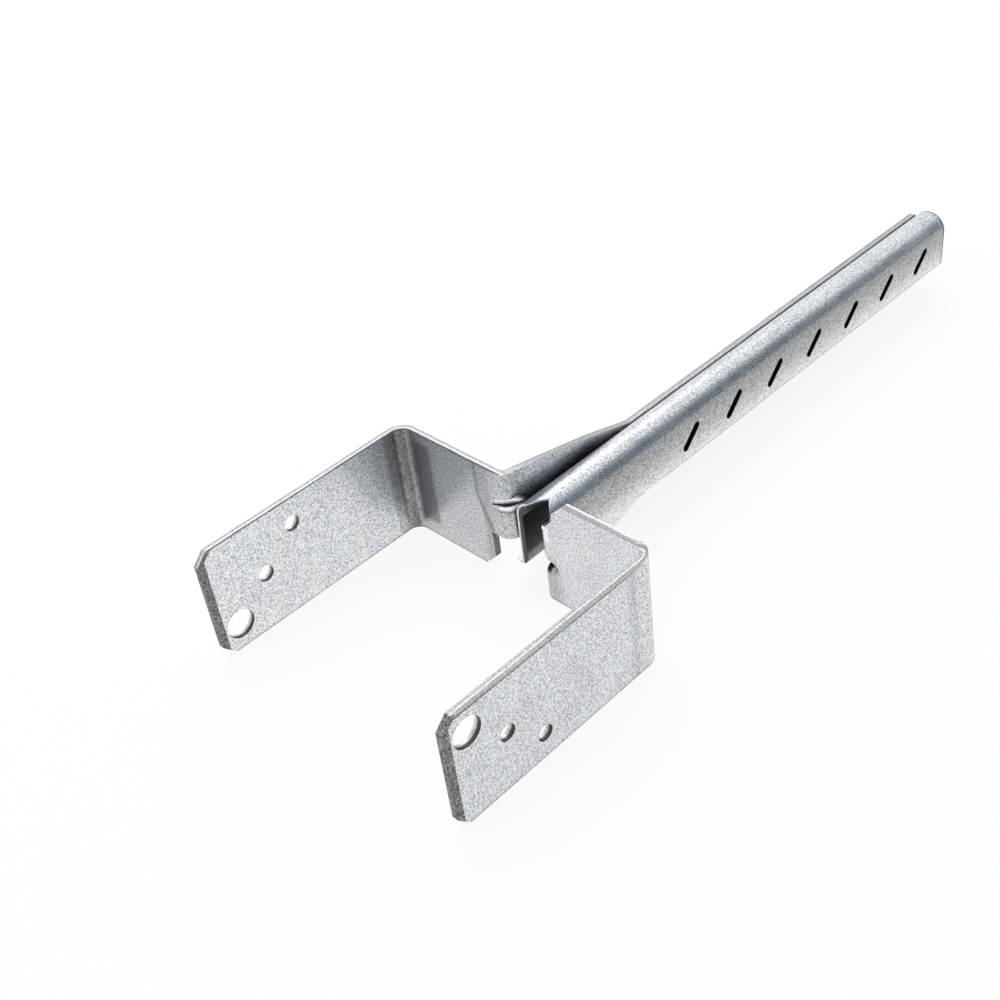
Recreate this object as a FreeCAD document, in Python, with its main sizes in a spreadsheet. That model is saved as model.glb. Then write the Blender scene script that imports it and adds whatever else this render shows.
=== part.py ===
import FreeCAD, Part
import math
import os
import Sketcher

# A post base folded from one strip of galvanised sheet: two straps make the saddle for the post,
# and the middle of the strip is rolled into a slotted stem that is cast into concrete.
# X runs across the saddle, -Y is the way the post leaves, +Y is the stem, Z is up as the part lies.
# The origin is the middle of the seat. All sizes are millimetres.

NODE = "post_base"
DART_LEAN = math.radians(20)

SIZES = {
    "post_gap": 101.0,
    "strap_width": 40.0,
    "side_height": 81.0,
    "sheet": 2.5,
    "bend_radius": 4.0,
    "root_radius": 2.0,
    "corner_cut": 4.0,
    "bolt_hole": 10.0,
    "nail_hole": 5.5,
    "bolt_to_end": 7.8,
    "hole_step_along": 13.0,
    "hole_step_across": 11.3,
    "stem_length": 226.0,
    "tube_width": 13.0,
    "tube_top": 11.5,
    "tube_offset": 3.05,
    "wall_drop": 8.5,
    "hem_gap": 1.0,
    "hem_drop": 14.6,
    "hem_tip": 13.6,
    "flange_rise": 8.5,
    "rim_setback": 2.5,
    "rim_left": 1.0,
    "rim_deep_across": 5.0,
    "rim_deep": 8.7,
    "lip_end": 6.4,
    "slit_end": 12.0,
    "right_flare_end": 46.0,
    "left_flare_start": 14.0,
    "left_flare_end": 57.0,
    "flare_round": 40.0,
    "right_edge": 14.4,
    "right_joint_top": 6.5,
    "notch_foot": 9.0,
    "notch_top": 12.8,
    "left_edge": 13.3,
    "left_joint_drop": 5.2,
    "root_corner": 4.6,
    "dart_floor": 5.4,
    "right_dart_drop": 7.2,
    "left_dart_rise": 8.0,
    "groove_round": 0.9,
    "lip_round": 3.0,
    "slot_width": 3.0,
    "slot_rise": 5.6,
    "slot_run": 5.6,
    "slot_level": -0.6,
    "slot_first": 71.2,
    "slot_end": 16.2,
    "slot_count": 7,
    "cut_over": 5.0,
}


# A size with the expression that ties it to the sheet
class Size:
    def __init__(self, text, value):
        self.text = text
        self.value = float(value)

    def __add__(self, other):
        other = as_size(other)
        return Size(f"({self.text} + {other.text})", self.value + other.value)

    def __sub__(self, other):
        other = as_size(other)
        return Size(f"({self.text} - {other.text})", self.value - other.value)

    def __mul__(self, number):
        return Size(f"({self.text} * {number})", self.value * number)

    def __truediv__(self, number):
        return Size(f"({self.text} / {number})", self.value / number)

    def __neg__(self):
        return Size(f"(0 - {self.text})", -self.value)


def as_size(thing):
    return thing if isinstance(thing, Size) else Size(str(thing), thing)


doc = FreeCAD.newDocument("post_base_document")
sheet_of_sizes = doc.addObject("Spreadsheet::Sheet", "sizes")
for row, (alias, number) in enumerate(SIZES.items(), start=1):
    sheet_of_sizes.set(f"A{row}", alias)
    sheet_of_sizes.set(f"B{row}", str(number))
    sheet_of_sizes.setAlias(f"B{row}", alias)
doc.recompute()


def size(alias):
    return Size(f"sizes.{alias}", getattr(sheet_of_sizes, alias))


# Sizes that follow from the sheet
zero = as_size(0)
sheet = size("sheet")
over = size("cut_over")
bend = size("bend_radius")
root_bend = size("root_radius")
root_end = root_bend + sheet
half_gap = size("post_gap") / 2
half_strap = size("strap_width") / 2
free_end = -size("side_height")
tube_mid = size("tube_offset")
wall_out = tube_mid + size("tube_width") / 2
wall_in = wall_out - sheet
tube_left = tube_mid - size("tube_width") / 2
flange_in = tube_left - size("hem_gap")
arch_level = size("tube_top") - size("tube_width") / 2
hem_level = sheet + size("hem_gap") / 2 - size("hem_drop")


# Sketches tied to the sheet
def new_sketch(body, name, role, offset=None):
    sketch = body.newObject("Sketcher::SketchObject", name)
    plane = [item for item in body.Origin.OriginFeatures if item.Role == role][0]
    sketch.AttachmentSupport = [(plane, "")]
    sketch.MapMode = "FlatFace"
    if offset is not None:
        sketch.setExpression("AttachmentOffset.Base.z", offset.text)
    return sketch


def tie(sketch, kind, places, value):
    index = sketch.addConstraint(Sketcher.Constraint(kind, *places, value.value))
    sketch.setExpression(f"Constraints[{index}]", value.text)


def tie_point(sketch, geometry, point, place):
    tie(sketch, "DistanceX", (-1, 1, geometry, point), place[0])
    tie(sketch, "DistanceY", (-1, 1, geometry, point), place[1])


def vector(place):
    return FreeCAD.Vector(place[0].value, place[1].value, 0)


def bow(start, end, middle, turn):
    first, last = (start, end) if turn > 0 else (end, start)
    spoke = first - middle
    circle = Part.Circle(middle, FreeCAD.Vector(0, 0, 1), spoke.Length)
    reach = last - middle
    begin = math.atan2(spoke.y, spoke.x)
    finish = math.atan2(reach.y, reach.x)
    return Part.ArcOfCircle(circle, begin, finish if finish > begin else finish + 2 * math.pi)


# Draws a chain of corners, each (x, y) or (x, y, arc middle, turn) when an arc leads to the next corner
def draw(sketch, corners, closed=True):
    count = len(corners) if closed else len(corners) - 1
    ends = []
    for number in range(count):
        here = corners[number]
        there = corners[(number + 1) % len(corners)]
        start = vector(here)
        end = vector(there)
        if len(here) == 2:
            geometry = sketch.addGeometry(Part.LineSegment(start, end), False)
            ends.append((geometry, 1, 2))
        else:
            middle, turn = here[2], here[3]
            geometry = sketch.addGeometry(bow(start, end, vector(middle), turn), False)
            ends.append((geometry, 1, 2) if turn > 0 else (geometry, 2, 1))
            upright = abs(end.x - start.x) > abs(end.y - start.y)
            if upright:
                tie(sketch, "DistanceY", (-1, 1, geometry, 3), middle[1])
            else:
                tie(sketch, "DistanceX", (-1, 1, geometry, 3), middle[0])
    for number, (geometry, first, last) in enumerate(ends):
        tie_point(sketch, geometry, first, corners[number])
        following = number + 1
        if following < count or closed:
            other = ends[following % count]
            sketch.addConstraint(Sketcher.Constraint("Coincident", geometry, last, other[0], other[1]))
        else:
            tie_point(sketch, geometry, last, corners[following])
    return sketch


def rectangle(sketch, left, right, low, high):
    return draw(sketch, [(left, low), (right, low), (right, high), (left, high)])


def circle(sketch, middle, diameter):
    shape = Part.Circle(vector(middle), FreeCAD.Vector(0, 0, 1), diameter.value / 2)
    geometry = sketch.addGeometry(shape, False)
    tie(sketch, "Diameter", (geometry,), diameter)
    tie_point(sketch, geometry, 3, middle)


# Features
def fold(body, name, section, path):
    feature = body.newObject("PartDesign::AdditivePipe", name)
    feature.Profile = section
    feature.Spine = (path, [f"Edge{number + 1}" for number in range(path.GeometryCount)])
    doc.recompute()
    return feature


def pad(body, name, sketch, length):
    feature = body.newObject("PartDesign::Pad", name)
    feature.Profile = sketch
    feature.SideType = "Symmetric"
    feature.setExpression("Length", length.text)
    doc.recompute()
    if feature.Shape.isNull():
        raise RuntimeError(f"{name} added nothing")
    return feature


def cut(body, name, sketch, length=None, reverse=False, both=False):
    feature = body.newObject("PartDesign::Pocket", name)
    feature.Profile = sketch
    feature.Reversed = reverse
    if both:
        feature.SideType = "Symmetric"
    if length is None:
        feature.Type = "ThroughAll"
    else:
        feature.setExpression("Length", length.text)
    before = body.Shape.Volume
    doc.recompute()
    if body.Shape.Volume >= before:
        raise RuntimeError(f"{name} removed nothing")
    return feature


def edges_where(shape, test):
    names = []
    for number, edge in enumerate(shape.Edges, start=1):
        if test(edge):
            names.append(f"Edge{number}")
    return names


def chamfer(body, name, base, test, wanted, amount):
    names = edges_where(base.Shape, test)
    if len(names) != wanted:
        raise RuntimeError(f"{name} found {len(names)} edges")
    feature = body.newObject("PartDesign::Chamfer", name)
    feature.Base = (base, names)
    feature.setExpression("Size", amount.text)
    doc.recompute()
    return feature


def near(one, two):
    return abs(one - two) < 1e-4


# An edge that runs along X at the given Y and height
def cross_edge(edge, y, z):
    level = near(edge.Vertexes[0].Z, edge.Vertexes[-1].Z)
    return level and all(near(v.Y, y.value) and near(abs(v.Z), z.value) for v in edge.Vertexes)


# A sketch square to the slant across a root bend, from the bend's sharp corner inwards
def slant_sketch(body, name, side, corner_x, level):
    sketch = new_sketch(body, name, "XZ_Plane")
    turn = FreeCAD.Rotation(FreeCAD.Vector(0, 1, 0), 45 if side > 0 else 135)
    sketch.AttachmentOffset = FreeCAD.Placement(FreeCAD.Vector(), turn)
    sketch.setExpression("AttachmentOffset.Base.x", corner_x.text)
    sketch.setExpression("AttachmentOffset.Base.y", level.text)
    return sketch


# A rounded V that opens towards the corner
def v_section(sketch, start, middle, round_by):
    tip_x = middle + round_by * math.sin(DART_LEAN)
    tip_y = round_by * math.cos(DART_LEAN)
    open_y = tip_y + (tip_x - start) * math.tan(DART_LEAN)
    return draw(sketch, [
        (start, -open_y),
        (tip_x, -tip_y, (middle, zero), 1),
        (tip_x, tip_y),
        (start, open_y),
    ])


# A pressed dart that stiffens a root bend: a V ridge to add behind it and a V groove to take out in front
def dart(name, side, corner_x, level):
    middle = size("dart_floor") - size("groove_round")
    length = (size("dart_floor") + sheet) * 2
    half_sheet = sheet / 2
    far = length * 2
    ridge = doc.addObject("PartDesign::Body", f"{name}_ridge")
    section = v_section(slant_sketch(ridge, "ridge_section", side, corner_x, level),
                        sheet / 2, middle, size("groove_round") + sheet)
    pad(ridge, "ridge", section, length)
    inside_x = corner_x + half_sheet * side
    front = draw(new_sketch(ridge, "front_outline", "XY_Plane"), [
        (inside_x, far),
        (inside_x, root_end, (corner_x + root_end * side, root_end), side),
        (corner_x + root_end * side, half_sheet),
        (corner_x + far * side, half_sheet),
        (corner_x + far * side, -far),
        (corner_x - far * side, -far),
        (corner_x - far * side, far),
    ])
    cut(ridge, "front", front, both=True)
    groove = doc.addObject("PartDesign::Body", f"{name}_groove")
    section = v_section(slant_sketch(groove, "groove_section", side, corner_x, level),
                        zero, middle, size("groove_round"))
    pad(groove, "groove", section, length)
    near_x = corner_x - size("hem_gap") / 2 * side
    far_x = corner_x - far * side
    left, right = (far_x, near_x) if side > 0 else (near_x, far_x)
    room = rectangle(new_sketch(groove, "room_outline", "XY_Plane"), left, right, -far, far)
    cut(groove, "room", room, both=True)
    return ridge, groove


# One bolt hole and two nail holes on a slanting line across a side plate
def plate_holes(body, side):
    holes = new_sketch(body, "hole_places", "YZ_Plane")
    along = size("hole_step_along")
    across = size("hole_step_across") * side
    first = free_end + size("bolt_to_end")
    circle(holes, (first, across), size("bolt_hole"))
    circle(holes, (first + along, zero), size("nail_hole"))
    circle(holes, (first + along * 2, -across), size("nail_hole"))
    return cut(body, "plate_holes", holes, reverse=side > 0)


# One strap of the saddle: side plate, bend, half of the seat, bend, and the root that runs along the stem
def strap(body, side, root, root_stop):
    path = draw(new_sketch(body, "fold_line", "XY_Plane"), [
        (half_gap * side, free_end),
        (half_gap * side, -bend, ((half_gap - bend) * side, -bend), side),
        ((half_gap - bend) * side, zero),
        (root + root_end * side, zero, (root + root_end * side, root_end), -side),
        (root, root_end),
        (root, root_stop),
    ], closed=False)
    section = new_sketch(body, "strap_section", "XZ_Plane", -free_end)
    inner = half_gap * side
    outer = (half_gap + sheet) * side
    left, right = (inner, outer) if side > 0 else (outer, inner)
    rectangle(section, left, right, -half_strap, half_strap)
    folded = fold(body, "folded_strap", section, path)
    chamfer(body, "corner_cuts", folded, lambda edge: cross_edge(
        edge, free_end, half_strap), 2, size("corner_cut"))
    return plate_holes(body, side)


# Right strap, whose root is the tube wall, free above the joint and flared below it
right = doc.addObject("PartDesign::Body", "right_strap")
flare_end = size("right_flare_end")
strap(right, 1, wall_in, flare_end)
joint_top = size("right_joint_top")
edge_x = size("right_edge")
corner = size("root_corner")
cut(right, "free_edge", draw(new_sketch(right, "free_edge_outline", "XZ_Plane"), [
    (tube_mid, joint_top),
    (size("notch_foot"), joint_top),
    (edge_x, size("notch_top")),
    (edge_x, half_strap - corner),
    (edge_x + corner, half_strap),
    (edge_x + corner, half_strap + over),
    (tube_mid, half_strap + over),
]))
flare = new_sketch(right, "flare_outline", "YZ_Plane", tube_mid)
draw(flare, [
    (sheet, -half_strap),
    (flare_end, -size("wall_drop")),
    (flare_end + over, -size("wall_drop")),
    (flare_end + over, -half_strap - over),
    (sheet, -half_strap - over),
])
rectangle(flare, size("lip_end"), flare_end + over, arch_level, half_strap + over)
cut(right, "flare", flare, edge_x - tube_mid, reverse=True)

# Left strap, whose root is the flange, free below the joint and flared above it
left = doc.addObject("PartDesign::Body", "left_strap")
flare_start = size("left_flare_start")
flare_stop = size("left_flare_end")
strap(left, -1, flange_in, flare_stop)
edge_x = -size("left_edge")
joint_low = -size("left_joint_drop")
cut(left, "free_edge", draw(new_sketch(left, "free_edge_outline", "XZ_Plane"), [
    (edge_x, joint_low),
    (edge_x, corner - half_strap),
    (edge_x - corner, -half_strap),
    (edge_x - corner, -half_strap - over),
    (zero, -half_strap - over),
    (zero, joint_low),
]))
flare = new_sketch(left, "flare_outline", "YZ_Plane")
draw(flare, [
    (flare_start, half_strap),
    (flare_stop, size("flange_rise")),
    (flare_stop + over, size("flange_rise")),
    (flare_stop + over, half_strap + over),
    (flare_start, half_strap + over),
])
cut(left, "flare", flare, size("left_edge"))

# Stem: wall, arch, second wall, hem and flange in one S fold
stem = doc.addObject("PartDesign::Body", "stem")
s_line = draw(new_sketch(stem, "s_line", "XZ_Plane"), [
    (wall_out, -size("wall_drop")),
    (wall_out, arch_level, (tube_mid, arch_level), 1),
    (tube_left, arch_level),
    (tube_left, hem_level, (tube_left - size("hem_gap") / 2, hem_level), -1),
    (flange_in, hem_level),
    (flange_in, size("flange_rise")),
], closed=False)
edge_section = new_sketch(stem, "edge_section", "XY_Plane", -size("wall_drop"))
rectangle(edge_section, wall_in, wall_out, size("rim_setback"), size("stem_length"))
fold(stem, "s_fold", edge_section, s_line)

# Room at the root for the two root bends, and the slit that frees the hem from the flange
rim = draw(new_sketch(stem, "rim_outline", "XY_Plane"), [
    (size("rim_left"), -over),
    (wall_out + over, -over),
    (wall_out + over, root_end),
    (wall_out - sheet / 3, root_end),
    (size("rim_deep_across"), size("rim_deep")),
    (size("rim_left"), size("rim_setback")),
])
cut(stem, "rim", rim, both=True)
slit = draw(new_sketch(stem, "slit_outline", "YZ_Plane", flange_in + size("hem_gap") / 2), [
    (-over, -size("hem_tip")),
    (size("slit_end"), -size("hem_tip")),
    (size("slit_end"), joint_low),
    (root_end, joint_low),
    (root_end, size("flange_rise") + over),
    (-over, size("flange_rise") + over),
])
cut(stem, "slit", slit)


# Keying slots through the right wall only
def slot(sketch, first, last, width):
    run = vector(last) - vector(first)
    heading = math.atan2(run.y, run.x)
    normal = FreeCAD.Vector(0, 0, 1)
    quarter = math.pi / 2
    radius = width.value / 2
    aside = FreeCAD.Vector(-math.sin(heading), math.cos(heading), 0) * radius
    one, two = vector(first), vector(last)
    shapes = [
        Part.ArcOfCircle(Part.Circle(one, normal, radius), heading + quarter, heading + 3 * quarter),
        Part.LineSegment(one - aside, two - aside),
        Part.ArcOfCircle(Part.Circle(two, normal, radius), heading - quarter, heading + quarter),
        Part.LineSegment(two + aside, one + aside),
    ]
    indexes = [sketch.addGeometry(shape, False) for shape in shapes]
    for here in range(4):
        there = (here + 1) % 4
        sketch.addConstraint(Sketcher.Constraint("Tangent", indexes[here], 2, indexes[there], 1))
    sketch.addConstraint(Sketcher.Constraint("Equal", indexes[0], indexes[2]))
    tie(sketch, "Diameter", (indexes[0],), width)
    tie_point(sketch, indexes[0], 3, first)
    tie_point(sketch, indexes[2], 3, last)


slot_sketch = new_sketch(stem, "slot_outline", "YZ_Plane", tube_mid)
half_run = size("slot_run") / 2
half_rise = size("slot_rise") / 2
slot(slot_sketch, (size("slot_first") - half_run, size("slot_level") - half_rise),
     (size("slot_first") + half_run, size("slot_level") + half_rise), size("slot_width"))
first_slot = cut(stem, "first_slot", slot_sketch, reverse=True)
row_of_slots = stem.newObject("PartDesign::LinearPattern", "row_of_slots")
row_of_slots.Originals = [first_slot]
row_of_slots.Direction = (slot_sketch, ["H_Axis"])
row_of_slots.Mode = "Spacing"
slot_room = size("stem_length") - size("slot_first") - size("slot_end")
row_of_slots.setExpression("Offset", f"{slot_room.text} / ({size('slot_count').text} - 1)")
row_of_slots.setExpression("Occurrences", size("slot_count").text)
stem.Tip = row_of_slots
doc.recompute()

# One folded piece, with a dart pressed into each root bend
DARTS = [(1, wall_in, -size("right_dart_drop")), (-1, flange_in, size("left_dart_rise"))]
right_ridge, right_groove = dart("right", *DARTS[0])
left_ridge, left_groove = dart("left", *DARTS[1])
joined = doc.addObject("Part::MultiFuse", "joined")
joined.Shapes = [right, left, stem, right_ridge, left_ridge]
grooves = doc.addObject("Part::MultiFuse", "grooves")
grooves.Shapes = [right_groove, left_groove]
pressed = doc.addObject("Part::Cut", "pressed")
pressed.Base = joined
pressed.Tool = grooves
pressed.Refine = True
doc.recompute()


# Rounds on edges of a finished shape
def rounded(name, base, test, wanted, radius):
    numbers = [n for n, edge in enumerate(base.Shape.Edges, start=1) if test(edge)]
    if len(numbers) != wanted:
        raise RuntimeError(f"{name} found {len(numbers)} edges")
    feature = doc.addObject("Part::Fillet", name)
    feature.Base = base
    feature.Edges = [(number, radius, radius) for number in numbers]
    doc.recompute()
    return feature


def flare_edge(edge):
    low = (size("right_flare_end"), -size("wall_drop"))
    high = (size("left_flare_end"), size("flange_rise"))
    for place in (low, high):
        if all(near(v.Y, place[0].value) and near(v.Z, place[1].value) for v in edge.Vertexes):
            return True
    return False


# An edge where a groove breaks through the front of the sheet, at a root bend of the given corner and level
def lip_edge(edge, side, corner_x, level):
    reach = (size("dart_floor") + sheet).value
    turn = root_end.value
    first, last = edge.ParameterRange
    for share in (0, 0.5, 1):
        spot = edge.valueAt(first + (last - first) * share)
        across = side * (spot.x - corner_x.value)
        on_bend = near(math.hypot(across - turn, spot.y - turn), turn)
        close = -1e-4 < across < 2 * reach and spot.y < 2 * reach and abs(spot.z - level.value) < reach / 2
        if not close or not (on_bend or near(spot.y, 0) or near(across, 0)):
            return False
    return True


flared = rounded("flared", pressed, flare_edge, 2, SIZES["flare_round"])
whole = rounded(NODE, flared, lambda edge: any(
    lip_edge(edge, *place) for place in DARTS), 16, SIZES["lip_round"])
whole.Label = NODE

# Check and write
for item in doc.Objects:
    if "Invalid" in item.State or "Error" in item.State:
        raise RuntimeError(f"{item.Name} is in state {item.State}")
    shape = getattr(item, "Shape", None)
    if shape is not None and item.isDerivedFrom("Part::Feature") and (shape.isNull() or not shape.isValid()):
        raise RuntimeError(f"{item.Name} has no valid shape")
if len(whole.Shape.Solids) != 1:
    raise RuntimeError(f"{len(whole.Shape.Solids)} solids instead of one")
os.makedirs("parts", exist_ok=True)
whole.Shape.exportStep(f"parts/{NODE}.step")
box = whole.Shape.BoundBox
print(NODE, "volume", round(whole.Shape.Volume), "box", [round(n, 2) for n in (
    box.XMin, box.XMax, box.YMin, box.YMax, box.ZMin, box.ZMax)])
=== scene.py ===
import math

import bmesh
import bpy
from mathutils import Matrix, Vector
from mathutils.bvhtree import BVHTree


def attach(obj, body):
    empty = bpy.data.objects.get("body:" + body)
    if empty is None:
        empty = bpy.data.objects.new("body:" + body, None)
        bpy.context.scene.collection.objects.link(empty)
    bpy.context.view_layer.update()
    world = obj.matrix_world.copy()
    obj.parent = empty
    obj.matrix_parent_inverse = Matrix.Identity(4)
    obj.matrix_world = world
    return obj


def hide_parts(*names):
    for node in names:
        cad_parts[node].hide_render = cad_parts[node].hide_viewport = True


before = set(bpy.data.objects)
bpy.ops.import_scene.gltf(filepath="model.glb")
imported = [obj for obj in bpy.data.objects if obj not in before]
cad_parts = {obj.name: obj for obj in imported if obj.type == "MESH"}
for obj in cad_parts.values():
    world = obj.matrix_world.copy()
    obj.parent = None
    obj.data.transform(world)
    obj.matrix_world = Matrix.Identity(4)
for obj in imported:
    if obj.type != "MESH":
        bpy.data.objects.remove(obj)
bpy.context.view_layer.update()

# Sizes of the solid, in metres
MM = 0.001
SHEET = 2.5 * MM
HALF_GAP = 50.5 * MM
HALF_STRAP = 20 * MM
SIDE = 81 * MM
BEND = 4 * MM
CORNER = 4 * MM
TUBE_MID = 3.05 * MM
TUBE_HALF = 6.5 * MM
ARCH_LEVEL = 5 * MM
FLANGE_IN = TUBE_MID - TUBE_HALF - 1 * MM
FLANGE_TOP = 8.5 * MM
FLOOR_LEVEL = -20 * MM

# Fine forms of the sheet: the flange's lean and fall, broken edges and rolled rims
LEAN = 1.5 * MM
LEAN_FOOT = 4.5 * MM
LEAN_START = 38 * MM
LEAN_FULL = 56 * MM
FALL_START = 4.5 * MM
ROOT_LEFT = -13 * MM
EDGE_BREAK = 0.42 * MM
END_ROLL = 2.2 * MM
CORNER_ROLL = 0.9 * MM
TOP_ROLL = 1.3 * MM
ROLL_DEPTH = 0.35 * MM

# How close two places count as one, in metres
CLOSE = 1e-6
SPLIT_CLOSE = 1e-7
MERGE_CLOSE = 2e-6
ON_FACE = 0.1 * MM
ON_END = 0.01 * MM

scene = bpy.context.scene
scene.view_settings.view_transform = "Standard"


# Node helpers
def new_material(name):
    material = bpy.data.materials.new(name)
    material.use_nodes = True
    tree = material.node_tree
    tree.nodes.clear()
    output = tree.nodes.new("ShaderNodeOutputMaterial")
    shader = tree.nodes.new("ShaderNodeBsdfPrincipled")
    tree.links.new(shader.outputs["BSDF"], output.inputs["Surface"])
    return material, tree, shader


def object_place(tree):
    return tree.nodes.new("ShaderNodeTexCoord").outputs["Object"]


def axes_of(tree, place):
    node = tree.nodes.new("ShaderNodeSeparateXYZ")
    tree.links.new(place, node.inputs[0])
    return node.outputs


def noise(tree, place, scale, detail=2.0, rough=0.5):
    node = tree.nodes.new("ShaderNodeTexNoise")
    node.inputs["Scale"].default_value = scale
    node.inputs["Detail"].default_value = detail
    node.inputs["Roughness"].default_value = rough
    tree.links.new(place, node.inputs["Vector"])
    return node.outputs["Fac"]


def spread(tree, value, low, high, to_low, to_high):
    node = tree.nodes.new("ShaderNodeMapRange")
    node.inputs["From Min"].default_value = low
    node.inputs["From Max"].default_value = high
    node.inputs["To Min"].default_value = to_low
    node.inputs["To Max"].default_value = to_high
    tree.links.new(value, node.inputs["Value"])
    return node.outputs["Result"]


# Most of a noise lies between these values
NOISE_LOW = 0.3
NOISE_HIGH = 0.7


def swing(tree, value, to_low, to_high):
    return spread(tree, value, NOISE_LOW, NOISE_HIGH, to_low, to_high)


# All light where the mask is empty, and the kept share of it where the mask is full
def kept_share(tree, mask, kept):
    return spread(tree, mask, 0.0, 1.0, 1.0, kept)


def maths(tree, kind, one, two):
    node = tree.nodes.new("ShaderNodeMath")
    node.operation = kind
    for socket, value in zip(node.inputs, (one, two)):
        if isinstance(value, (int, float)):
            socket.default_value = value
        else:
            tree.links.new(value, socket)
    return node.outputs["Value"]


def above_zero(tree, value):
    return maths(tree, "MAXIMUM", value, 0)


def size_of(tree, value):
    return maths(tree, "ABSOLUTE", value, 0)


def distance(tree, one, two):
    squares = [maths(tree, "MULTIPLY", value, value) for value in (one, two)]
    return maths(tree, "SQRT", maths(tree, "ADD", *squares), 0)


def product(tree, values):
    result = values[0]
    for value in values[1:]:
        result = maths(tree, "MULTIPLY", result, value)
    return result


def blended(tree, one, two, mask):
    change = maths(tree, "MULTIPLY", maths(tree, "SUBTRACT", two, one), mask)
    return maths(tree, "ADD", one, change)


def tinted(tree, value, first, second):
    node = tree.nodes.new("ShaderNodeMix")
    node.data_type = "RGBA"
    node.inputs[6].default_value = (*first, 1.0)
    node.inputs[7].default_value = (*second, 1.0)
    tree.links.new(value, node.inputs["Factor"])
    return node.outputs[2]


def ramp(tree, value, stops):
    node = tree.nodes.new("ShaderNodeValToRGB")
    node.color_ramp.interpolation = "LINEAR"
    while len(node.color_ramp.elements) < len(stops):
        node.color_ramp.elements.new(0.5)
    for element, (place, light) in zip(node.color_ramp.elements, stops):
        element.position = place
        element.color = (light, light, light, 1.0)
    tree.links.new(value, node.inputs["Fac"])
    return node.outputs["Color"]


def times(tree, one, two):
    node = tree.nodes.new("ShaderNodeVectorMath")
    node.operation = "MULTIPLY"
    tree.links.new(one, node.inputs[0])
    tree.links.new(two, node.inputs[1])
    return node.outputs["Vector"]


def bump(tree, height, strength, depth):
    node = tree.nodes.new("ShaderNodeBump")
    node.inputs["Strength"].default_value = strength
    node.inputs["Distance"].default_value = depth
    tree.links.new(height, node.inputs["Height"])
    return node.outputs["Normal"]


def make_metal(tree, shader, colour, roughness, normal):
    shader.inputs["Metallic"].default_value = 1.0
    tree.links.new(colour, shader.inputs["Base Color"])
    tree.links.new(roughness, shader.inputs["Roughness"])
    tree.links.new(normal, shader.inputs["Normal"])


# One inside a range of a coordinate, with a soft border
def between(tree, value, low, high, soft):
    rise = spread(tree, value, low - soft, low + soft, 0.0, 1.0)
    fall = spread(tree, value, high - soft, high + soft, 1.0, 0.0)
    return maths(tree, "MULTIPLY", rise, fall)


# One inside limits given in millimetres along X, Y, Z and the slanting way Y - X, soft at the sides
def box_mask(tree, place, soft, x=None, y=None, z=None, slant=None):
    axes = axes_of(tree, place)
    ways = [(axes["X"], x), (axes["Y"], y), (axes["Z"], z)]
    if slant:
        ways.append((maths(tree, "SUBTRACT", axes["Y"], axes["X"]), slant))
    masks = []
    for value, limits in ways:
        if limits:
            masks.append(between(tree, value, limits[0] * MM, limits[1] * MM, soft * MM))
    return product(tree, masks)


# Share of the saddle's thickness from the burr: on the post side, but outside on the right plate
def sheet_share(tree, place):
    axes = axes_of(tree, place)
    out_x = above_zero(tree, maths(tree, "SUBTRACT", size_of(tree, axes["X"]), HALF_GAP - BEND))
    out_y = above_zero(tree, maths(tree, "ADD", axes["Y"], BEND))
    share = spread(tree, distance(tree, out_x, out_y), BEND, BEND + SHEET, 0.0, 1.0)
    on_right = spread(tree, axes["X"], HALF_GAP - BEND, HALF_GAP, 0.0, 1.0)
    return size_of(tree, maths(tree, "SUBTRACT", on_right, share))


# Share of the way down the rolled strip below the right plate's top edge
def roll_share(tree, place):
    return spread(tree, axes_of(tree, place)["Z"], HALF_STRAP, HALF_STRAP - TOP_ROLL, 0.0, 1.0)


# Share of the way across the top of the flange
def flange_share(tree, place):
    axes = axes_of(tree, place)
    moved = spread(tree, axes["Y"], LEAN_START, LEAN_FULL, 0.0, LEAN)
    return spread(tree, maths(tree, "SUBTRACT", axes["X"], moved), FLANGE_IN - SHEET, FLANGE_IN, 0.0, 1.0)


# Share of the tube's thickness, from its outside
def tube_share(tree, place):
    axes = axes_of(tree, place)
    out_x = maths(tree, "SUBTRACT", axes["X"], TUBE_MID)
    out_z = above_zero(tree, maths(tree, "SUBTRACT", axes["Z"], ARCH_LEVEL))
    return spread(tree, distance(tree, out_x, out_z), TUBE_HALF, TUBE_HALF - SHEET, 0.0, 1.0)


# Grain of hot-dip zinc, as noise scales per metre, and how far its light reaches
CRYSTAL_SCALE = 1400
SPECK_SCALE = 3000
CLUMP_SCALE = 430
BLOTCH_SCALE = 80
GRAIN_DARK = 0.372
GRAIN_LIGHT = 0.585
GRAIN_DEPTH = 0.00012


# Crystals, specks, clumps and slow blotches, with the light value they make
def zinc_grain(tree, place):
    crystals = noise(tree, place, CRYSTAL_SCALE, 2.0, 0.6)
    specks = noise(tree, place, SPECK_SCALE, 1.0, 0.5)
    clumps = noise(tree, place, CLUMP_SCALE, 2.0, 0.5)
    blotches = noise(tree, place, BLOTCH_SCALE, 3.0, 0.6)
    halves = [maths(tree, "MULTIPLY", value, 0.5) for value in (crystals, specks)]
    fine = maths(tree, "ADD", *halves)
    light = spread(tree, fine, GRAIN_DARK, GRAIN_LIGHT, 0.0, 1.0)
    light = maths(tree, "ADD", light, swing(tree, clumps, -0.05, 0.05))
    light = maths(tree, "ADD", light, swing(tree, blotches, -0.10, 0.10))
    return crystals, blotches, fine, light


# Painted shade in deep folds and gaps: the colour darkens where the part closes in around a point
FOLD_REACH = 5 * MM
FOLD_DARKEST = 0.58


def painted_fold_shade(tree):
    node = tree.nodes.new("ShaderNodeAmbientOcclusion")
    node.samples = 8
    node.only_local = True
    node.inputs["Distance"].default_value = FOLD_REACH
    return spread(tree, node.outputs["AO"], 0.05, 0.60, FOLD_DARKEST, 1.0)
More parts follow.
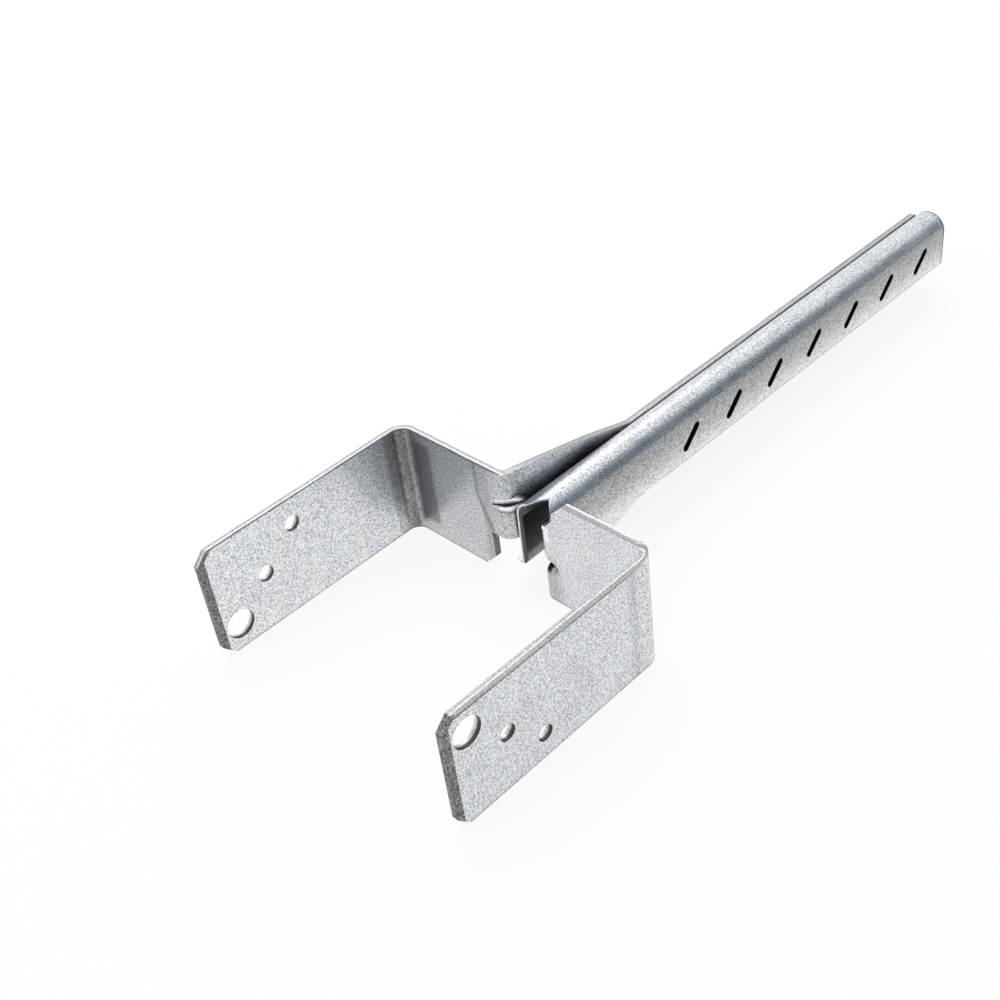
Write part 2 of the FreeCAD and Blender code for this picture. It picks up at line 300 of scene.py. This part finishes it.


# Painted shade beside bends, joints and darts, inside the tube and its slots and along the feet, and the
# dark cut rim of the far end, with the share of light that is kept
FAR = 400
FRONT = (-40, 13)
PAINTED_SHADE_AND_END_MARKS = [
    # painted shade: a dark band and a dark bend beside the left plate, which shift the bend's reflection
    (0.52, dict(soft=0.9, x=(-46.3, -38.6), y=(-3.5, 1.2), z=(-15.0, 16.8))),
    (0.72, dict(soft=0.8, x=(-52.0, -48.6), y=(-8.0, 3.0))),
    (0.62, dict(soft=0.3, x=(-50.7, -48.5), y=(-4.6, -0.4))),
    (0.80, dict(soft=5.0, x=(-70.0, -45.0), y=(-17.0, 6.0), z=(-1.0, 40.0))),
    # painted shade on strips beside the right bend and the right joint
    (0.84, dict(soft=1.2, x=(51.0, 56.0), y=(-10.5, -7.5))),
    (0.72, dict(soft=1.9, x=(6.0, 15.0), y=(-2.5, 3.0), z=(-30.0, -3.0))),
    # painted shade at the root of the flange and a painted shade line below its dart
    (0.80, dict(soft=0.6, x=(-16.2, -4.7), y=(-2.5, 9.0))),
    (0.45, dict(soft=0.12, x=(-9.0, -4.0), y=(-1.0, 4.6), z=(4.9, 5.3), slant=FRONT)),
    # painted shade in the valleys of the two darts and the pocket behind the right joint
    (0.06, dict(soft=0.12, x=(-11.6, -4.0), y=(-1.0, 7.1), z=(6.5, 7.05), slant=FRONT)),
    (0.08, dict(soft=0.2, x=(7.0, 10.9), y=(0.5, 6.0), z=(-10.1, -6.0))),
    (0.15, dict(soft=0.2, x=(6.8, 9.7), y=(2.0, 8.0), z=(6.2, 6.8))),
    # painted shade inside the tube and in its slots
    (0.11, dict(soft=0.15, x=(-1.6, 7.6), y=(2.3, FAR), z=(-30.0, 9.4))),
    (0.10, dict(soft=0.1, x=(6.8, 9.35), y=(60.0, 215.0), z=(-7.0, 5.0))),
    # the dark cut rim at the far end, and painted contact shadow lines at the straps' foot and along the
    # foot of the tube's right wall
    (0.28, dict(soft=0.1, y=(225.3, FAR))),
    (0.55, dict(soft=0.1, z=(-25.0, -19.5))),
    (0.58, dict(soft=0.12, x=(6.9, 9.9), y=(57.0, FAR), z=(-9.5, -8.1))),
]
# Painted highlights and painted reflections, with the share of painted light
PAINTED_HIGHLIGHT_MARKS = [
    # painted highlights on the lips of the left dart and of the right joint
    (1.0, dict(soft=0.25, x=(-11.2, -9.6), y=(-1.0, 7.1), z=(7.5, 8.7), slant=FRONT)),
    (1.0, dict(soft=0.25, x=(-9.9, -4.0), y=(-1.0, 7.1), z=(7.2, 10.9), slant=FRONT)),
    (1.0, dict(soft=0.12, x=(-9.1, -4.0), y=(-1.0, 5.0), z=(5.75, 6.4), slant=FRONT)),
    (1.0, dict(soft=0.3, x=(8.3, 11.9), y=(-1.0, 1.4), z=(3.4, 8.6))),
    # painted reflection on the inner face of the left plate, away from its bend
    (0.12, dict(soft=4.0, x=(-60.0, -45.0), y=(-95.0, -22.0))),
    # painted light on the foot of the hem below the tube, lifting the painted shade of the tube's inside
    # there
    (0.3, dict(soft=1.0, x=(-2.0, 8.0), y=(2.3, FAR), z=(-25.0, -9.0))),
]
# The painted shade on the upper left of the left seat ends on a slanting line, and the painted shade line of
# the crease beside it turns at a level
SHADE_MIDDLE = 31 * MM
SHADE_SLOPE = 1.33
CREASE_TURN = 8 * MM
CREASE_SLOPE = 0.38


# Painted shade on the upper left half of the left seat and on its left part, and a painted shade line down
# the crease beside the flange's root
def seat_painted_shade(tree, place):
    axes = axes_of(tree, place)
    on_seat = box_mask(tree, place, 0.2, y=(-2.5, 0.3))
    rise = maths(tree, "MULTIPLY", maths(tree, "ADD", axes["X"], SHADE_MIDDLE), SHADE_SLOPE)
    upper = spread(tree, maths(tree, "SUBTRACT", axes["Z"], rise), -4 * MM, 4 * MM, 0.0, 1.0)
    painted_dark = product(tree, [on_seat, box_mask(tree, place, 0.3, x=(-50, -17.4)), upper])
    below = above_zero(tree, maths(tree, "SUBTRACT", CREASE_TURN, axes["Z"]))
    line = maths(tree, "SUBTRACT", axes["X"], maths(tree, "MULTIPLY", below, CREASE_SLOPE))
    on_line = between(tree, line, -18.5 * MM, -16.6 * MM, 0.5 * MM)
    crease_shade = product(tree, [on_seat, on_line, box_mask(tree, place, 2, z=(-6, 25))])
    left = product(tree, [on_seat, box_mask(tree, place, 1, x=(-50, -12))])
    amounts = [(painted_dark, 0.78), (crease_shade, 0.6), (left, 0.83)]
    return [kept_share(tree, mask, kept) for mask, kept in amounts]


# The tube's right wall has painted shade below the arch, a brownish tint in the middle and painted light
# toward its foot
def wall_shade_light_and_tint(tree, place):
    z = axes_of(tree, place)["Z"]
    wall = box_mask(tree, place, 0.5, x=(8.4, 12.0), y=(6.0, FAR), z=(-30.0, 8.2))
    painted_dark = maths(tree, "MULTIPLY", wall, spread(tree, z, -8 * MM, 6 * MM, 0.0, 1.0))
    brown = maths(tree, "MULTIPLY", wall, box_mask(tree, place, 2, z=(-5, 4)))
    foot_painted_light = maths(tree, "MULTIPLY", wall, spread(tree, z, -14 * MM, 0.0, 0.5, 0.0))
    return painted_dark, brown, foot_painted_light


def painted_shade_and_end_share(tree, place):
    shades = seat_painted_shade(tree, place)
    for kept, limits in PAINTED_SHADE_AND_END_MARKS:
        shades.append(kept_share(tree, box_mask(tree, place, **limits), kept))
    return product(tree, shades)


def painted_highlight_share(tree, place):
    result = 0
    for amount, limits in PAINTED_HIGHLIGHT_MARKS:
        mask = maths(tree, "MULTIPLY", box_mask(tree, place, **limits), amount)
        result = maths(tree, "MAXIMUM", mask, result)
    return result


# Colours of the metal
BLACK = (0.0, 0.0, 0.0)
WHITE = (1.0, 1.0, 1.0)
ZINC_DARK = (0.36, 0.385, 0.415)
ZINC_LIGHT = (0.945, 0.967, 0.992)
HUE_COLD = (0.97, 1.0, 1.03)
HUE_WARM = (1.03, 1.0, 0.97)
WALL_BROWN = (1.0, 0.965, 0.93)
WALL_SHADE_KEPT = 0.50
END_TINT = (0.97, 0.98, 1.0)
EDGE_TINT = (0.96, 0.98, 1.0)


# Zinc skin: grain, pits, painted shade, painted highlights and painted reflections, and a satin gloss that
# varies
def zinc_skin():
    material, tree, shader = new_material("zinc_skin")
    place = object_place(tree)
    crystals, blotches, fine, light = zinc_grain(tree, place)
    highlight_paint = painted_highlight_share(tree, place)
    wall_painted_shade, wall_brown, wall_painted_light = wall_shade_light_and_tint(tree, place)
    # Painted highlights and the painted light on the wall's foot are added to the grain's light
    light = maths(tree, "ADD", light, maths(tree, "ADD", highlight_paint, wall_painted_light))
    colour = tinted(tree, light, ZINC_DARK, ZINC_LIGHT)
    hue = spread(tree, noise(tree, place, 700, 2.0, 0.6), 0.35, 0.65, 0.0, 1.0)
    colour = times(tree, colour, tinted(tree, hue, HUE_COLD, HUE_WARM))
    colour = times(tree, colour, tinted(tree, wall_brown, WHITE, WALL_BROWN))
    pits = spread(tree, noise(tree, place, 1900, 0.0, 0.5), 0.62, 0.72, 1.0, 0.55)
    # Painted shade of folds, marks and the wall darkens the colour with the pits, and painted highlights
    # lift it back
    shades = [painted_fold_shade(tree), painted_shade_and_end_share(tree, place), pits, kept_share(tree, wall_painted_shade, WALL_SHADE_KEPT)]
    shade = maths(tree, "MAXIMUM", product(tree, shades), highlight_paint)
    gloss = maths(tree, "ADD", swing(tree, crystals, 0.40, 0.24), swing(tree, blotches, -0.05, 0.05))
    make_metal(tree, shader, times(tree, colour, shade), gloss, bump(tree, fine, 0.45, GRAIN_DEPTH))
    return material


# Sheared ends: dull grey steel with little zinc
def sheared_end():
    material, tree, shader = new_material("sheared_end")
    place = object_place(tree)
    specks = noise(tree, place, 1500, 2.0, 0.6)
    patches = noise(tree, place, 300, 2.0, 0.5)
    light = maths(tree, "MULTIPLY", swing(tree, specks, 0.07, 0.42), swing(tree, patches, 0.8, 1.2))
    make_metal(tree, shader, tinted(tree, light, BLACK, END_TINT), swing(tree, specks, 0.68, 0.5),
               bump(tree, specks, 0.6, 0.00018))
    return material


# Cut edges, by the share of the thickness: dull grey and dark bands of the cut steel, painted highlight
# lines where the broken edge would catch the light, and painted shade lines where it turns away from it
EDGE_LOOK = [(0.0, 0.07), (0.17, 0.10), (0.24, 0.42), (0.34, 0.46), (0.42, 0.95), (0.52, 0.95), (0.62, 0.46),
             (1.0, 0.55)]
SEAT_LOOK = [(0.0, 0.28), (0.15, 0.36), (0.62, 0.40), (0.78, 0.90), (1.0, 0.95)]
PLATE_LOOK = [(0.0, 0.26), (0.24, 0.42), (0.36, 0.46), (0.42, 0.90), (0.47, 0.90), (0.53, 0.46), (1.0, 0.50)]
HOLE_LOOK = [(0.0, 0.06), (0.48, 0.12), (0.64, 0.70), (1.0, 0.85)]
ROLL_LOOK = [(0.0, 0.80), (0.25, 0.62), (0.62, 0.58), (0.76, 0.20), (1.0, 0.25)]
FLANGE_LOOK = [(0.0, 0.20), (0.12, 0.46), (0.55, 0.60), (0.80, 0.48), (0.88, 0.10), (1.0, 0.04)]
RIM_LOOK = [(0.0, 1.0), (0.22, 0.95), (0.34, 0.12), (1.0, 0.08)]
CUT_EDGES = [
    ("cut_edge", sheet_share, EDGE_LOOK),
    ("hole_wall", sheet_share, HOLE_LOOK),
    ("rim", tube_share, RIM_LOOK),
    ("rolled_strip", roll_share, ROLL_LOOK),
    ("flange_edge", flange_share, FLANGE_LOOK),
]


# The bands of a look, which change along the right seat and plate, by the bend and by the flange's root
def edge_bands(tree, place, value, look):
    bands = ramp(tree, value, look)
    if look is EDGE_LOOK:
        on_seat = box_mask(tree, place, 1.5, x=(5.0, 48.0), y=(-3.0, 3.0))
        bands = blended(tree, bands, ramp(tree, value, SEAT_LOOK), on_seat)
        on_right = box_mask(tree, place, 1.0, x=(47.0, 60.0))
        bands = blended(tree, bands, ramp(tree, value, PLATE_LOOK), on_right)
    if look is ROLL_LOOK:
        by_bend = spread(tree, axes_of(tree, place)["Y"], -22 * MM, -5 * MM, 0.0, 0.66)
        bands = maths(tree, "MAXIMUM", bands, by_bend)
    if look is FLANGE_LOOK:
        by_root = spread(tree, axes_of(tree, place)["Y"], 42 * MM, 56 * MM, 0.40, 0.0)
        bands = maths(tree, "MAXIMUM", bands, by_root)
    return bands


def cut_edge(name, share, look):
    material, tree, shader = new_material(name)
    place = object_place(tree)
    crystals, blotches, fine, light = zinc_grain(tree, place)
    wander = maths(tree, "ADD", share(tree, place), swing(tree, blotches, -0.05, 0.05))
    bands = edge_bands(tree, place, wander, look)
    lightness = maths(tree, "MULTIPLY", bands, spread(tree, light, 0.0, 1.0, 0.6, 1.0))
    make_metal(tree, shader, tinted(tree, lightness, BLACK, EDGE_TINT), swing(tree, crystals, 0.52, 0.34),
               bump(tree, fine, 0.4, GRAIN_DEPTH))
    return material


# The part: a copy of the solid's mesh with its cut faces told apart and its sharp edges broken
ZINC, END, EDGE, HOLE, RIM, ROLL, FLANGE = range(7)
# Places on a triangle, as shares of its corners, where a ray looks for the sheet's other side
SPOTS = [(0.34, 0.33, 0.33), (0.6, 0.2, 0.2), (0.2, 0.6, 0.2), (0.2, 0.2, 0.6),
         (0.45, 0.45, 0.1), (0.1, 0.45, 0.45), (0.45, 0.1, 0.45)]
RAY_START = 0.02 * MM
DEEPER = 1.15 * SHEET
# A normal's share along an axis from which a face counts as turned that way, as a steep top or as level
TURNED = 0.5
STEEP_TOP = 0.6
LEVEL_TOP = 0.9
RIM_NEAR = 2 * MM
RIM_FAR = 9.5 * MM
RIM_FOOT = -15 * MM
FLANGE_NEAR = 9 * MM
FLANGE_LOW = 8 * MM
ROOT_AWAY = 12 * MM


# How far a point of a side plate is inside the plate's end or its corner cuts
def from_end(place):
    return SIDE + place.y


def from_corner(place, height):
    return (SIDE + HALF_STRAP - CORNER + place.y - height) / math.sqrt(2)


def on_end(place):
    return min(from_end(place), from_corner(place, abs(place.z))) < ON_END


# A face is a cut one where the way through the metal behind it is longer than the sheet is thick
def is_cut(tree, face):
    deep = 0
    for spot in SPOTS:
        place = sum((corner.co * share for corner, share in zip(face.verts, spot)), Vector())
        hit = tree.ray_cast(place - face.normal * RAY_START, -face.normal)
        if hit[3] is None or hit[3] > DEEPER:
            deep += 1
    return deep > len(SPOTS) / 2


def is_rim(face, middle):
    aside = math.hypot(middle.x - TUBE_MID, max(middle.z - ARCH_LEVEL, 0.0))
    on_wall = TUBE_HALF - SHEET < aside < TUBE_HALF
    return on_wall and RIM_NEAR < middle.y < RIM_FAR and face.normal.y < -TURNED and middle.z > RIM_FOOT


def is_flange_top(face, middle):
    on_flange = FLANGE_IN - SHEET < middle.x < FLANGE_IN and middle.y > FLANGE_NEAR and middle.z > FLANGE_LOW
    return on_flange and face.normal.z > STEEP_TOP


def kind_of(tree, face):
    middle = face.calc_center_median()
    if all(corner.co.y < -2 * BEND for corner in face.verts):
        if all(on_end(corner.co) for corner in face.verts):
            return EDGE if middle.x < 0 and face.normal.z > TURNED else END
        if abs(face.normal.x) > TURNED:
            return ZINC
        return EDGE if abs(middle.z) > HALF_STRAP - ON_FACE else HOLE
    if is_rim(face, middle):
        return RIM
    if is_flange_top(face, middle):
        return FLANGE
    if face.normal.z > LEVEL_TOP and middle.z > HALF_STRAP - ON_FACE:
        return EDGE
    if middle.y > SHEET * 1.01 or not is_cut(tree, face):
        return ZINC
    if abs(abs(middle.z) - HALF_STRAP) < ON_FACE:
        return EDGE
    return END if abs(face.normal.x) > TURNED and abs(middle.x) > ROOT_AWAY else ZINC


# The shear rolled the right-hand rim of each plate over: narrow slopes with little zinc
RIGHT_FACE = {-1: -HALF_GAP, 1: HALF_GAP + SHEET}


def on_right_face(place):
    return abs(place.x - RIGHT_FACE[1 if place.x > 0 else -1]) < CLOSE


def split(mesh, faces, place, normal):
    parts = set(faces)
    for face in faces:
        parts.update(face.edges)
        parts.update(face.verts)
    bmesh.ops.bisect_plane(mesh, geom=list(parts), dist=SPLIT_CLOSE, plane_co=place, plane_no=normal)


def roll_rims(mesh):
    half = math.sqrt(0.5)
    rims = [
        (END, (0.0, END_ROLL - SIDE, 0.0), (0.0, 1.0, 0.0), from_end, END_ROLL),
        (END, (0.0, CORNER_ROLL / half - SIDE, HALF_STRAP - CORNER), (0.0, half, -half),
         lambda place: from_corner(place, place.z), CORNER_ROLL),
        (ROLL, (0.0, 0.0, HALF_STRAP - TOP_ROLL), (0.0, 0.0, -1.0),
         lambda place: HALF_STRAP - place.z if place.x > 0 else 1.0, TOP_ROLL),
    ]
    for _, place, normal, _, _ in rims:
        faces = [face for face in mesh.faces
                 if all(on_right_face(corner.co) and corner.co.y < -BEND + CLOSE for corner in face.verts)]
        split(mesh, faces, place, normal)
    for kind, _, _, inset, width in reversed(rims):
        for face in mesh.faces:
            if all(on_right_face(corner.co) and inset(corner.co) < width + CLOSE for corner in face.verts):
                face.material_index = kind
    for vertex in mesh.verts:
        if on_right_face(vertex.co) and vertex.co.y < -BEND - CLOSE:
            if any(inset(vertex.co) < CLOSE for _, _, _, inset, _ in rims):
                vertex.co.x -= ROLL_DEPTH


# The flange's top falls in one straight line from the bend to its level part
def fall_flange(mesh):
    slope = (HALF_STRAP - FLANGE_TOP) / (LEAN_FULL - FALL_START)
    for vertex in mesh.verts:
        if ROOT_LEFT < vertex.co.x < FLANGE_IN + CLOSE and vertex.co.y > FALL_START:
            line = HALF_STRAP - slope * (vertex.co.y - FALL_START)
            vertex.co.z = min(vertex.co.z, max(line, FLANGE_TOP))


def on_flange(place):
    return FLANGE_IN - SHEET - CLOSE < place.x < FLANGE_IN + CLOSE and place.y > 2 * SHEET


# The flange's top leans in until it almost meets the tube's arch
def lean_flange(mesh):
    cuts = [
        ((0.0, 0.0, LEAN_FOOT), (0.0, 0.0, 1.0)),
        ((0.0, LEAN_START, 0.0), (0.0, 1.0, 0.0)),
        ((0.0, LEAN_FULL, 0.0), (0.0, 1.0, 0.0)),
    ]
    for place, normal in cuts:
        faces = [face for face in mesh.faces if all(on_flange(corner.co) for corner in face.verts)]
        split(mesh, faces, place, normal)
    fall_flange(mesh)
    for vertex in mesh.verts:
        if on_flange(vertex.co) and vertex.co.z > LEAN_FOOT and vertex.co.y > LEAN_START:
            along = min((vertex.co.y - LEAN_START) / (LEAN_FULL - LEAN_START), 1.0)
            vertex.co.x += LEAN * along * (vertex.co.z - LEAN_FOOT) / (FLANGE_TOP - LEAN_FOOT)


FLAT_ANGLE = math.radians(0.5)
SHARP_ANGLE = math.radians(42)


# The copied mesh with its kinds of faces, rolled rims, leaning flange and broken edges
def part_mesh():
    mesh = bmesh.new()
    mesh.from_mesh(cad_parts["post_base"].data)
    bmesh.ops.remove_doubles(mesh, verts=mesh.verts[:], dist=MERGE_CLOSE)
    mesh.normal_update()
    tree = BVHTree.FromBMesh(mesh)
    kinds = [kind_of(tree, face) for face in mesh.faces]
    for face, kind in zip(mesh.faces, kinds):
        face.material_index = kind
    bmesh.ops.dissolve_limit(mesh, angle_limit=FLAT_ANGLE, verts=mesh.verts[:], edges=mesh.edges[:],
                             delimit={"MATERIAL"})
    roll_rims(mesh)
    lean_flange(mesh)
    mesh.normal_update()
    sharp = [edge for edge in mesh.edges
             if len(edge.link_faces) == 2 and edge.calc_face_angle(0.0) > SHARP_ANGLE]
    bmesh.ops.bevel(mesh, geom=sharp, offset=EDGE_BREAK, offset_type="OFFSET", segments=2, profile=0.5,
                    affect="EDGES", clamp_overlap=True, material=-1, loop_slide=True)
    for face in mesh.faces:
        face.smooth = True
    data = bpy.data.meshes.new("post_base_skin")
    mesh.to_mesh(data)
    mesh.free()
    return data


def dressed_part():
    data = part_mesh()
    part = bpy.data.objects.new("post_base_skin", data)
    scene.collection.objects.link(part)
    for material in [zinc_skin(), sheared_end()] + [cut_edge(*edge) for edge in CUT_EDGES]:
        data.materials.append(material)
    weighted = part.modifiers.new("flat_faces", "WEIGHTED_NORMAL")
    weighted.mode = "FACE_AREA"
    weighted.weight = 50
    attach(part, "root")
    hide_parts("post_base")


dressed_part()

# Floor: white paper that keeps a faint shadow, seen as near white by the camera and in the metal
FLOOR_HALF = 6.0
FLOOR_CORNERS = [(-1, -1), (1, -1), (1, 1), (-1, 1)]
PAPER = (0.96, 0.96, 0.96, 1.0)
PAPER_GLOW = 0.86


def floor():
    data = bpy.data.meshes.new("floor")
    corners = [(x * FLOOR_HALF, y * FLOOR_HALF, FLOOR_LEVEL) for x, y in FLOOR_CORNERS]
    data.from_pydata(corners, [], [(0, 1, 2, 3)])
    material, tree, shader = new_material("floor_paper")
    shader.inputs["Base Color"].default_value = PAPER
    shader.inputs["Roughness"].default_value = 1.0
    shader.inputs["Specular IOR Level"].default_value = 0.0
    glow = tree.nodes.new("ShaderNodeEmission")
    glow.inputs["Color"].default_value = (*WHITE, 1.0)
    glow.inputs["Strength"].default_value = 1.0
    rays = tree.nodes.new("ShaderNodeLightPath")
    seen = maths(tree, "MAXIMUM", rays.outputs["Is Camera Ray"], rays.outputs["Is Glossy Ray"])
    seen = maths(tree, "MAXIMUM", seen, rays.outputs["Is Transmission Ray"])
    mix = tree.nodes.new("ShaderNodeMixShader")
    tree.links.new(maths(tree, "MULTIPLY", seen, PAPER_GLOW), mix.inputs["Fac"])
    tree.links.new(shader.outputs["BSDF"], mix.inputs[1])
    tree.links.new(glow.outputs["Emission"], mix.inputs[2])
    tree.links.new(mix.outputs["Shader"], tree.nodes["Material Output"].inputs["Surface"])
    data.materials.append(material)
    obj = bpy.data.objects.new("floor", data)
    scene.collection.objects.link(obj)


floor()

# Light: a bright room with one darker side, and a soft lamp high on the left
DARK_SIDE = (0.81, 0.47, 0.35)
DARK_START = 0.77
DARK_FULL = 0.93
ROOM_LIGHT = (0.98, 0.99, 1.0)
ROOM_DARK = (0.13, 0.165, 0.205)
KEY_PLACE = Vector((-0.7, 0.5, 1.2))
KEY_AIM = Vector((0.0, 0.05, 0.0))
KEY_SIZE = 1.0
KEY_POWER = 4.0


def key_lamp():
    data = bpy.data.lights.new("key", "AREA")
    data.shape = "RECTANGLE"
    data.size = KEY_SIZE
    data.size_y = KEY_SIZE
    data.energy = KEY_POWER
    lamp = bpy.data.objects.new("key", data)
    scene.collection.objects.link(lamp)
    lamp.location = KEY_PLACE
    lamp.rotation_euler = (KEY_AIM - KEY_PLACE).to_track_quat("-Z", "Y").to_euler()


def room():
    world = bpy.data.worlds.new("studio")
    scene.world = world
    world.use_nodes = True
    tree = world.node_tree
    heading = tree.nodes.new("ShaderNodeTexCoord").outputs["Generated"]
    facing = tree.nodes.new("ShaderNodeVectorMath")
    facing.operation = "DOT_PRODUCT"
    facing.inputs[1].default_value = DARK_SIDE
    tree.links.new(heading, facing.inputs[0])
    shade = spread(tree, facing.outputs["Value"], DARK_START, DARK_FULL, 0.0, 1.0)
    sky = tree.nodes["Background"]
    tree.links.new(tinted(tree, shade, ROOM_LIGHT, ROOM_DARK), sky.inputs["Color"])
    sky.inputs["Strength"].default_value = 1.0


room()
key_lamp()

# Camera at the photograph's place, from the fitted perspective
EYE = Vector((247.28, -217.22, 269.81)) * MM
RIGHT = Vector((0.7086, 0.6966, -0.11239))
UP = Vector((-0.36902, 0.50162, 0.78243))
LENS = 50.08
SENSOR = 36.0

camera_data = bpy.data.cameras.new("camera")
camera_data.sensor_width = SENSOR
camera_data.lens = LENS
camera_data.clip_start = 10 * MM
camera = bpy.data.objects.new("camera", camera_data)
scene.collection.objects.link(camera)
back = RIGHT.cross(UP)
camera.matrix_world = Matrix.Translation(EYE) @ Matrix((RIGHT, UP, back)).transposed().to_4x4()
scene.camera = camera
